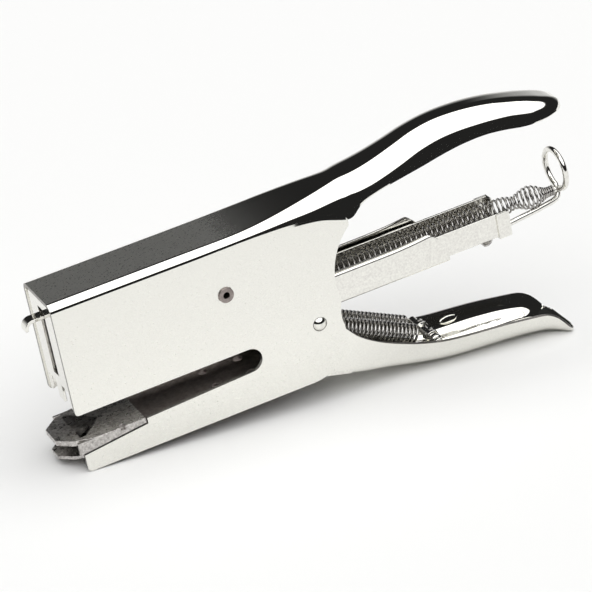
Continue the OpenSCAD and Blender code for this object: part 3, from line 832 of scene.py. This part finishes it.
def own_axes(point):
    """A point of the row frame, in metres, in the stapler's own axes, in mm."""
    offset = (Vector(point) - ORIGIN) / MM
    return offset.dot(REAR), offset.dot(SIDE), offset.dot(UP)


# How much of the rolled finish the plates keep, and where on the roof it ends, over what length
ROLLED_PLATE = 0.8
ROLLED_END = 76.0
ROLLED_FADE = 30.0


def mark_rolled(piece):
    """Marks how far each face kept the sheet's rolled finish: all of it on flats, none where drawn."""
    rolled = piece.data.attributes.new("rolled", "FLOAT", "FACE")
    for face in piece.data.polygons:
        x = own_axes(face.center)[0]
        roof_share = min(max((ROLLED_END - x) / ROLLED_FADE, 0.0), 1.0)
        sideways = abs(face.normal.y)
        value = 0.0
        if sideways > 0.999:
            value = ROLLED_PLATE
        elif sideways < 0.02:
            value = roof_share
        rolled.data[face.index].value = value


# Where the crease along the seam begins
CREASE_FROM = 44.0


def crease_seam(piece):
    """Keeps the line crisp where the drawn shoulder meets the flat plate."""
    net = bmesh.new()
    net.from_mesh(piece.data)
    for edge in net.edges:
        ends = [own_axes(v.co) for v in edge.verts]
        on_seam = all(
            -0.01 < x < SEAM_END + 0.05 and abs(z - smooth_rows(ROOF_STATIONS, x)[5]) < 0.03
            for x, _, z in ends
        )
        if on_seam and ends[0][0] > CREASE_FROM:
            edge.smooth = False
    net.to_mesh(piece.data)
    net.free()


# ---- Jaw, front and small parts, which keep their CAD shapes ----


class STAPLER_OT_jaw(bpy.types.Operator):
    """Lower jaw: the folded channel, the anvil over it and the tongue that closes its nose"""

    bl_idname = "stapler.jaw"
    bl_label = "Jaw And Anvil"

    def execute(self, context):
        sizes = context.scene.stapler_sizes
        refine("jaw_channel", "Jaw_channel", "dark_steel", sizes.small_round)
        refine("anvil_plate", "Anvil_plate", "hardened_steel", sizes.edge_round)
        refine("anvil_support", "Anvil_tongue", "hardened_steel", sizes.small_round)
        return {"FINISHED"}


class STAPLER_OT_front(bpy.types.Operator):
    """Front plate with its slot, and the driver blade behind it"""

    bl_idname = "stapler.front"
    bl_label = "Front Plate And Driver"

    def execute(self, context):
        sizes = context.scene.stapler_sizes
        refine("front_plate", "Front_plate", "satin_nickel", sizes.small_round)
        refine("driver_blade", "Driver_blade", "hardened_steel", sizes.small_round)
        return {"FINISHED"}


class STAPLER_OT_rivets(bpy.types.Operator):
    """Rivets and pins: the main rivet, the hollow rivet, the drive arm's rivets and the spring pins"""

    bl_idname = "stapler.rivets"
    bl_label = "Rivets And Pins"

    def execute(self, context):
        fine = context.scene.stapler_sizes.small_round
        refine("pivot_rivet", "Main_rivet", "bright_wire", fine)
        refine("eyelet_rivet", "Hollow_rivet", "dark_steel", fine)
        refine("arm_rivets", "Drive_arm_rivets", "satin_nickel", fine)
        refine("spring_anchor_pin", "Spring_anchor_pin", "spring_steel", fine)
        refine("spring_pin", "Spring_pin", "bright_wire", fine)
        return {"FINISHED"}


class STAPLER_OT_drive_arm(bpy.types.Operator):
    """Drive arm, with the curled tongue that shows at the front"""

    bl_idname = "stapler.drive_arm"
    bl_label = "Drive Arm"

    def execute(self, context):
        sizes = context.scene.stapler_sizes
        refine("drive_arm", "Drive_arm", "bright_wire", sizes.edge_round, SHEET_EDGE)
        return {"FINISHED"}


# ---- Lever ----


def lever_section(x, under, rim, half, bend, slope):
    """One section of the lever: floor, a wide bend at each side, and a wall leaning out to its rim."""
    end = math.pi / 2 - math.atan(slope)
    rise = bend * (1 - math.cos(end))
    wall = max(rim - under - rise, 0.02) / math.sin(end)
    flat = max(half - bend * math.sin(end) - wall * math.cos(end), 0.1)
    side = [(flat * i / 4, under) for i in range(4)]
    for i in range(11):
        a = end * i / 10
        side.append((flat + bend * math.sin(a), under + bend * (1 - math.cos(a))))
    y, z = side[-1]
    for i in range(1, 4):
        side.append((y + wall * math.cos(end) * i / 3, z + wall * math.sin(end) * i / 3))
    return mirrored(x, side)


# Sides of a button, and the share of its radius and height at each step from foot to crown
BUTTON_SIDES = 28
BUTTON_PROFILE = [(0.0, -0.4), (1.0, -0.4), (1.0, 0.3), (0.96, 0.62), (0.88, 0.85), (0.74, 1.0), (0.0, 1.06)]

# Marks and heads inside the lever: name, centre, axis, radius, height, squatness
LEVER_BUTTONS = [
    ("Lever_weld_button", (128.5, 5.2, -12.2), (0.0, -0.4, 0.92), 1.55, 0.3, 1.0),
    ("Lever_press_mark", (109.0, 7.05, -6.8), (0.0, -0.963, 0.27), 2.6, 0.2, 0.42),
    ("Spring_pin_head", (99.1, -5.7, -3.4), (0.0, -1.0, 0.0), 1.7, 1.1, 1.0),
]


def button(centre, axis, radius, height, squat):
    """Points and faces of a low button with a rounded shoulder, standing on a sheet along an axis."""
    up = Vector(axis).normalized()
    ahead = Vector((1.0, 0.0, 0.0))
    across = up.cross(ahead) * squat
    points = []
    for wide, tall in BUTTON_PROFILE:
        for i in range(BUTTON_SIDES + 1):
            a = math.tau * i / BUTTON_SIDES
            spoke = math.cos(a) * ahead + math.sin(a) * across
            points.append(Vector(centre) + wide * radius * spoke + tall * height * up)
    return points, grid_faces(len(BUTTON_PROFILE), BUTTON_SIDES + 1)


def outward(piece, side):
    """Positive where a flat side piece's faces look away from the middle plane."""
    return piece.data.polygons[0].normal.y * side


class STAPLER_OT_lever(bpy.types.Operator):
    """Lever: its drawn trough, and the cheeks that reach up to the rivets"""

    bl_idname = "stapler.lever"
    bl_label = "Lever"

    def execute(self, context):
        sizes = context.scene.stapler_sizes
        positions = steps(LEVER_FRONT, 130.0, 1.3) + steps(130.0, LEVER_TIP, 0.35) + [LEVER_TIP]
        sections = [lever_section(*smooth_rows(LEVER_STATIONS, x)) for x in positions]
        points, faces = loft(sections)
        trough = add_piece(
            "Lever_trough", points, faces, "lever", "bright_nickel", ["lever"]
        )
        thicken(trough, sizes.lever_gauge, -1)
        round_edges(trough, sizes.edge_round, SHEET_EDGE)
        holes = [arc(PIVOT, CHEEK_HOLE, 0.0, 337.5, 15)]
        flat, triangles = flat_sheet(CHEEK, holes, 4.0)
        for side, name in ((-1, "left"), (1, "right")):
            sheet = [(x, side * (LEVER_HALF - CHEEK_INSET), z) for x, z in flat]
            cheek = add_piece(
                "Lever_cheek_" + name, sheet, triangles, "lever", "satin_nickel", ["lever"]
            )
            inward = 1 if outward(cheek, side) < 0 else -1
            thicken(cheek, sizes.lever_gauge - 2 * CHEEK_INSET * MM, inward)
            round_edges(cheek, sizes.small_round, SHEET_EDGE)
        for name, centre, axis, radius, height, squat in LEVER_BUTTONS:
            points, faces = button(centre, axis, radius, height, squat)
            add_piece(name, points, faces, "lever", "bright_nickel", solid=True)
        return {"FINISHED"}


# ---- Springs ----

# Radius of the pins that the return springs hook on, and the slack of their eyes round them
SPRING_PIN_RADIUS = 1.2
EYE_SLACK = 0.06

# Points in each turn of a return spring
COIL_SIDES = 18


def eye_points(centre, ahead, above, radius, degrees):
    """Points of a spring's end loop round a pin."""
    turns = [math.radians(d) for d in degrees]
    return [centre + radius * (math.cos(a) * ahead + math.sin(a) * above) for a in turns]


def return_spring_path(y, width, wire, pitch):
    """Centre line of a return spring: an eye on the anchor pin, close coils, and an eye on the hook pin."""
    start, end = Vector((ANCHOR[0], y, ANCHOR[1])), Vector((HOOK[0], y, HOOK[1]))
    run = (end - start).length
    ahead = (end - start) / run
    above = Vector((-ahead.z, 0.0, ahead.x))
    across = Vector((0.0, 1.0, 0.0))
    radius = (width - wire) / 2
    eye = SPRING_PIN_RADIUS + wire / 2 + EYE_SLACK
    path = eye_points(start, ahead, above, eye, range(40, 331, 15))
    path.append(start + 2.2 * ahead - 1.75 * above)
    first, last = 3.2, run - 4.8
    count = round((last - first) / pitch) * COIL_SIDES
    for i in range(count + 1):
        a = math.tau * i / COIL_SIDES
        s = first + (last - first) * i / count
        path.append(start + s * ahead - radius * (math.cos(a) * above + math.sin(a) * across))
    path.append(end - 3.6 * ahead - 2.1 * above)
    return path + eye_points(end, ahead, above, eye, range(235, 500, 15))


class STAPLER_OT_return_springs(bpy.types.Operator):
    """The two return springs, wound and hooked over their pins"""

    bl_idname = "stapler.return_springs"
    bl_label = "Return Springs"

    def execute(self, context):
        sizes = context.scene.stapler_sizes
        wire = mm(sizes.return_wire)
        for side, name in ((-1, "left"), (1, "right")):
            path = return_spring_path(
                side * SPRING_SPREAD, mm(sizes.return_width), wire, mm(sizes.return_pitch)
            )
            points, faces = tube(path, wire / 2, 8)
            spring = add_piece(
                "Return_spring_" + name, points, faces, None, "spring_steel",
                ["return_spring_" + name],
            )
            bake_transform(spring)
        return {"FINISHED"}


# The feed spring at x: share of its coil radius, and how far its middle hangs
FEED_RADII = [
    (36.2, 1.0, 0.0), (118.0, 1.0, 0.0), (125.5, 1.04, 0.1), (127.6, 0.92, 0.1), (129.6, 0.7, 0.0),
    (131.0, 0.84, 0.0), (132.8, 1.14, -0.1), (134.8, 1.28, -0.2), (136.6, 1.06, -0.35), (138.2, 0.7, -0.5),
    (139.4, 0.52, -0.6), (141.6, 0.5, -0.6),
]

# Where each stretch of the feed spring ends, and its share of the pitch
FEED_PITCHES = [(124.0, 1.0), (138.0, 0.82), (FEED_END, 0.42)]


def feed_spring_path(width, wire, pitch):
    """Centre line of the feed spring: even coils in the rail, a waist, a bulge and tight last turns."""
    path = []
    x, turn = FEED_START, 0.0
    while x < FEED_END:
        _, share, drop = smooth_rows(FEED_RADII, x)
        radius = share * (width - wire) / 2
        a = math.tau * turn
        path.append((x, radius * math.sin(a), FEED_HEIGHT + drop + radius * math.cos(a)))
        tight = next(share for end, share in FEED_PITCHES if x < end)
        x += pitch * tight / 16
        turn += 1 / 16
    return path


class STAPLER_OT_feed_spring(bpy.types.Operator):
    """Feed spring, wound along the rail"""

    bl_idname = "stapler.feed_spring"
    bl_label = "Feed Spring"

    def execute(self, context):
        sizes = context.scene.stapler_sizes
        wire = mm(sizes.feed_wire)
        path = feed_spring_path(mm(sizes.feed_width), wire, mm(sizes.feed_pitch))
        points, faces = tube(path, wire / 2, 7)
        spring = add_piece(
            "Feed_spring", points, faces, "puller", "spring_steel", ["feed_spring"]
        )
        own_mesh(spring)
        return {"FINISHED"}


class STAPLER_OT_puller(bpy.types.Operator):
    """Puller: one wire with its leg in the rail, its ring across the end, and a stub in the spring"""

    bl_idname = "stapler.puller"
    bl_label = "Puller"

    def execute(self, context):
        sizes = context.scene.stapler_sizes
        radius = mm(sizes.ring_radius)
        x, z = RING_CENTRE
        ring = []
        for degrees in range(-66, 253, 6):
            a = math.radians(degrees)
            ring.append((x, radius * math.cos(a), z + radius * math.sin(a)))
        leg = [
            (29.2, -3.9, 19.8), (60.0, -3.9, 19.8), (90.0, -3.9, 19.8), (113.7, -3.9, 19.8),
            (124.7, -3.85, 19.8), (129.7, -3.0, 19.7), (135.0, -1.9, 19.55), (140.2, -0.6, 19.5),
            (142.2, -0.05, 19.9), (142.95, 0.5, 21.0), (x, 1.5, 22.75),
        ]
        stub = [
            (x, -1.7, 22.9), (142.9, -0.9, 22.45), (142.2, -0.2, 22.3), (140.6, 0.0, 22.3),
            (138.9, 0.0, 22.3),
        ]
        path = smooth_path(leg, 6) + ring + smooth_path(stub, 5)
        points, faces = tube(path, mm(sizes.puller_wire) / 2, 14)
        add_piece(
            "Puller_wire", points, faces, "puller", "bright_wire", ["puller_wire"]
        )
        return {"FINISHED"}


# ---- Magazine ----


def channel_section(x, height, roll, lip):
    """One section of the magazine channel: floor, bends, walls and lips rolled inward."""
    half, floor, bend = MAGAZINE_HALF, CHANNEL_FLOOR, 0.9
    side = [((half - bend) * i / 3, floor) for i in range(3)]
    for i in range(7):
        a = math.radians(90 * i / 6)
        side.append((half - bend + bend * math.sin(a), floor + bend * (1 - math.cos(a))))
    for i in range(1, 5):
        side.append((half, floor + bend + (height - floor - bend) * i / 4))
    for i in range(1, 10):
        a = math.radians(max(roll, 2.0) * i / 9)
        side.append((half - lip + lip * math.cos(a), height + lip * math.sin(a)))
    return mirrored(x, side)


class STAPLER_OT_magazine(bpy.types.Operator):
    """Magazine channel with its rolled lips, and the bracket that hangs it on the main rivet"""

    bl_idname = "stapler.magazine"
    bl_label = "Magazine"

    def execute(self, context):
        sizes = context.scene.stapler_sizes
        positions = [CHANNEL_FRONT] + steps(6.0, 90.0, 6.0) + steps(90.0, 100.0, 1.0)
        positions += steps(100.0, CHANNEL_END, 0.3) + [CHANNEL_END]
        lip = mm(sizes.lip_radius)
        sections = [channel_section(*smooth_rows(CHANNEL_STATIONS, x), lip) for x in positions]
        points, faces = loft(sections)
        channel = add_piece(
            "Magazine_channel", points, faces, "magazine", "satin_nickel",
            ["magazine_channel"],
        )
        thicken(channel, sizes.channel_gauge, -1)
        round_edges(channel, sizes.small_round, SHEET_EDGE)
        refine("magazine_bracket", "Magazine_bracket", "satin_nickel", sizes.small_round)
        return {"FINISHED"}


class STAPLER_OT_rail(bpy.types.Operator):
    """Staple rail, the folded clip over its end and the bent leaf under it"""

    bl_idname = "stapler.rail"
    bl_label = "Rail And Clip"

    def execute(self, context):
        sizes = context.scene.stapler_sizes
        refine("staple_rail", "Staple_rail", "satin_nickel", sizes.small_round)
        refine("end_clip", "End_clip", "satin_nickel", sizes.small_round)
        refine("rail_catch", "Rail_catch", "spring_steel", sizes.small_round)
        return {"FINISHED"}


def staple(x, wire, leg):
    """Points and faces of one staple: flattened wire bent to an inverted U."""
    top, half, bend = STAPLE_TOP, STAPLE_HALF, 0.5
    outer = [(-half, top - leg), (-half, top - bend), (-half + bend * 0.3, top - bend * 0.3),
             (-half + bend, top), (half - bend, top), (half - bend * 0.3, top - bend * 0.3),
             (half, top - bend), (half, top - leg)]
    inner = [(-half + wire, top - leg), (-half + wire, top - wire), (-half + wire, top - wire),
             (-half + bend + wire, top - wire), (half - bend - wire, top - wire), (half - wire, top - wire),
             (half - wire, top - wire), (half - wire, top - leg)]
    count = len(outer)
    deep = wire * 0.92
    points = [(px, y, z) for px in (x, x + deep) for y, z in outer + inner]
    faces = []
    for i in range(count - 1):
        a, b, c, d = i, i + 1, count + i + 1, count + i
        back = 2 * count
        faces.append((a, b, c, d))
        faces.append((d + back, c + back, b + back, a + back))
        faces.append((a, a + back, b + back, b))
        faces.append((d, c, c + back, d + back))
    for i in (0, count - 1):
        faces.append((i, count + i, 3 * count + i, 2 * count + i))
    return points, faces


class STAPLER_OT_staples(bpy.types.Operator):
    """The strip of staples, one by one, and the pusher behind it"""

    bl_idname = "stapler.staples"
    bl_label = "Staples And Pusher"

    def execute(self, context):
        sizes = context.scene.stapler_sizes
        wire, leg = mm(sizes.staple_wire), mm(sizes.staple_leg)
        points, faces = [], []
        for i in range(round(mm(sizes.strip_length) / wire)):
            start = len(points)
            some, more = staple(CHANNEL_FRONT + i * wire, wire, leg)
            points += some
            faces += [tuple(start + k for k in face) for face in more]
        add_piece(
            "Staple_strip", points, faces, "magazine", "galvanised_wire",
            ["staple_strip"], solid=True,
        )
        refine("pusher", "Pusher", "dark_steel", sizes.small_round)
        return {"FINISHED"}


# ---- Stage ----

# The soft light overhead: the direction of its middle, and the cosines where its edge starts and ends
LIGHT_HEADING = (0.0, -0.241, 1.0)
LIGHT_EDGE = (0.66, 0.70)

# The glow low down behind: the height where it ends, and how far round the back it starts and is full
SKIRTING_TOP = 0.42
SKIRTING_ROUND = (0.3, 0.8)

# How far the floor lies under the stapler, in metres
FLOOR_GAP = 0.0001

# The camera's axes and place, in the stapler's own axes
CAMERA_RIGHT = (0.888733, -0.423809, -0.174756)
CAMERA_BACK = (-0.303790, -0.829963, 0.467838)
CAMERA_PLACE = (-174.826, -657.716, 391.122)


def studio_world(stage):
    """A room that is dark but for one wide soft light overhead; the backdrop itself is white."""
    world = bpy.data.worlds.new("Studio")
    bpy.context.scene.world = world
    world.use_nodes = True
    tree = world.node_tree
    tree.nodes.clear()
    heading = add_node(tree, "ShaderNodeTexCoord", {})
    leaning = add_node(
        tree, "ShaderNodeVectorMath",
        {0: heading.outputs["Generated"], 1: LIGHT_HEADING}, operation="DOT_PRODUCT",
    )
    lit = add_node(
        tree, "ShaderNodeMapRange",
        {"Value": leaning.outputs["Value"], "From Min": LIGHT_EDGE[0], "From Max": LIGHT_EDGE[1],
         "To Min": stage.surround, "To Max": stage.softbox},
        interpolation_type="SMOOTHSTEP",
    )
    split = add_node(tree, "ShaderNodeSeparateXYZ", {0: heading.outputs["Generated"]})
    low = add_node(
        tree, "ShaderNodeMapRange",
        {"Value": split.outputs["Z"], "From Min": 0.0, "From Max": SKIRTING_TOP,
         "To Min": stage.skirting, "To Max": 0.0},
        interpolation_type="SMOOTHSTEP",
    )
    behind = add_node(
        tree, "ShaderNodeMapRange",
        {"Value": split.outputs["Y"], "From Min": SKIRTING_ROUND[0], "From Max": SKIRTING_ROUND[1],
         "To Min": 0.0, "To Max": 1.0},
        interpolation_type="SMOOTHSTEP",
    )
    glow_behind = add_node(
        tree, "ShaderNodeMath", {0: low.outputs[0], 1: behind.outputs[0]}, operation="MULTIPLY"
    )
    room = add_node(tree, "ShaderNodeMath", {0: lit.outputs[0], 1: glow_behind.outputs[0]}, operation="ADD")
    path = add_node(tree, "ShaderNodeLightPath", {})
    seen = add_node(
        tree, "ShaderNodeMix",
        {0: path.outputs["Is Camera Ray"], 2: room.outputs[0], 3: 1.0}, data_type="FLOAT",
    )
    glow = add_node(
        tree, "ShaderNodeBackground", {"Color": (1.0, 1.0, 1.0, 1.0), "Strength": seen.outputs[0]}
    )
    add_node(tree, "ShaderNodeOutputWorld", {"Surface": glow.outputs[0]})


def paper(tones):
    # Matt white background paper: pale, with a faint fibre that barely lifts the light.
    made, tree = new_material("background paper")
    place = add_node(tree, "ShaderNodeTexCoord", {})
    fibre = add_node(
        tree, "ShaderNodeTexNoise",
        {"Vector": place.outputs["Object"], "Scale": per_metre(1.2), "Detail": 3.0},
    )
    bump = add_node(
        tree, "ShaderNodeBump", {"Height": fibre.outputs["Fac"], "Strength": 0.04, "Distance": 0.00005}
    )
    shader = add_node(
        tree, "ShaderNodeBsdfPrincipled",
        {"Base Color": (*tones.floor, 1.0), "Roughness": 0.9, "Specular IOR Level": 0.2,
         "Normal": bump.outputs[0]},
    )
    add_node(tree, "ShaderNodeOutputMaterial", {"Surface": shader.outputs[0]})
    return made


class STAPLER_OT_stage(bpy.types.Operator):
    """Stage: pale floor, soft light and the camera"""

    bl_idname = "stapler.stage"
    bl_label = "Stage"

    def execute(self, context):
        stage = context.scene.stapler_stage
        half = stage.floor_size / 2
        mesh = bpy.data.meshes.new("Floor")
        corners = [(-half, -half, 0), (half, -half, 0), (half, half, 0), (-half, half, 0)]
        mesh.from_pydata(corners, [], [(0, 1, 2, 3)])
        mesh.materials.append(paper(context.scene.stapler_finishes))
        floor = bpy.data.objects.new("Floor", mesh)
        context.scene.collection.objects.link(floor)
        floor.location.z = CAD_BOX[0].z - FLOOR_GAP
        studio_world(stage)
        add_camera(stage)
        context.scene.view_settings.view_transform = "Standard"
        return {"FINISHED"}


def add_camera(stage):
    """The camera, placed in the stapler's own axes and looking a little down on its left side."""
    data = bpy.data.cameras.new("Camera")
    data.lens = stage.lens
    data.sensor_width = 36.0
    data.clip_start = 0.01
    data.dof.use_dof = False
    camera = bpy.data.objects.new("Camera", data)
    right = along(*CAMERA_RIGHT).normalized()
    back = along(*CAMERA_BACK).normalized()
    above = back.cross(right).normalized()
    place = at(*CAMERA_PLACE)
    camera.matrix_world = Matrix((
        (right.x, above.x, back.x, place.x),
        (right.y, above.y, back.y, place.y),
        (right.z, above.z, back.z, place.z),
        (0.0, 0.0, 0.0, 1.0),
    ))
    bpy.context.scene.collection.objects.link(camera)
    bpy.context.scene.camera = camera


# ---- Panel and registration ----

PIECES = [
    STAPLER_OT_body_shell, STAPLER_OT_jaw, STAPLER_OT_front, STAPLER_OT_rivets, STAPLER_OT_drive_arm,
    STAPLER_OT_lever, STAPLER_OT_return_springs, STAPLER_OT_magazine, STAPLER_OT_rail, STAPLER_OT_staples,
    STAPLER_OT_feed_spring, STAPLER_OT_puller,
]


class STAPLER_PT_build(bpy.types.Panel):
    """Lists the stapler's pieces, sizes and finishes"""

    bl_label = "Plier Stapler"
    bl_idname = "STAPLER_PT_build"
    bl_space_type = "VIEW_3D"
    bl_region_type = "UI"
    bl_category = "Stapler"

    def draw(self, context):
        layout = self.layout
        for operator in [STAPLER_OT_stage] + PIECES:
            layout.operator(operator.bl_idname)
        for settings in ("stapler_sizes", "stapler_finishes", "stapler_stage"):
            group = getattr(context.scene, settings)
            box = layout.box()
            for name in group.__annotations__:
                box.prop(group, name)


SETTINGS = {
    "stapler_sizes": StaplerSizes,
    "stapler_finishes": StaplerFinishes,
    "stapler_stage": StaplerStage,
}


def register():
    """Adds the settings, the operators and the panel to Blender."""
    for name, group in SETTINGS.items():
        bpy.utils.register_class(group)
        setattr(bpy.types.Scene, name, bpy.props.PointerProperty(type=group))
    for cls in [STAPLER_OT_stage] + PIECES + [STAPLER_PT_build]:
        bpy.utils.register_class(cls)


def unregister():
    """Takes them out again, in the opposite order."""
    for cls in reversed([STAPLER_OT_stage] + PIECES + [STAPLER_PT_build]):
        bpy.utils.unregister_class(cls)
    for name, group in reversed(list(SETTINGS.items())):
        delattr(bpy.types.Scene, name)
        bpy.utils.unregister_class(group)


def main():
    """Builds everything in order."""
    register()
    bpy.ops.stapler.stage()
    for operator in PIECES:
        getattr(bpy.ops.stapler, operator.bl_idname.split(".")[1])()
    bpy.context.view_layer.update()


if __name__ == "__main__":
    main()
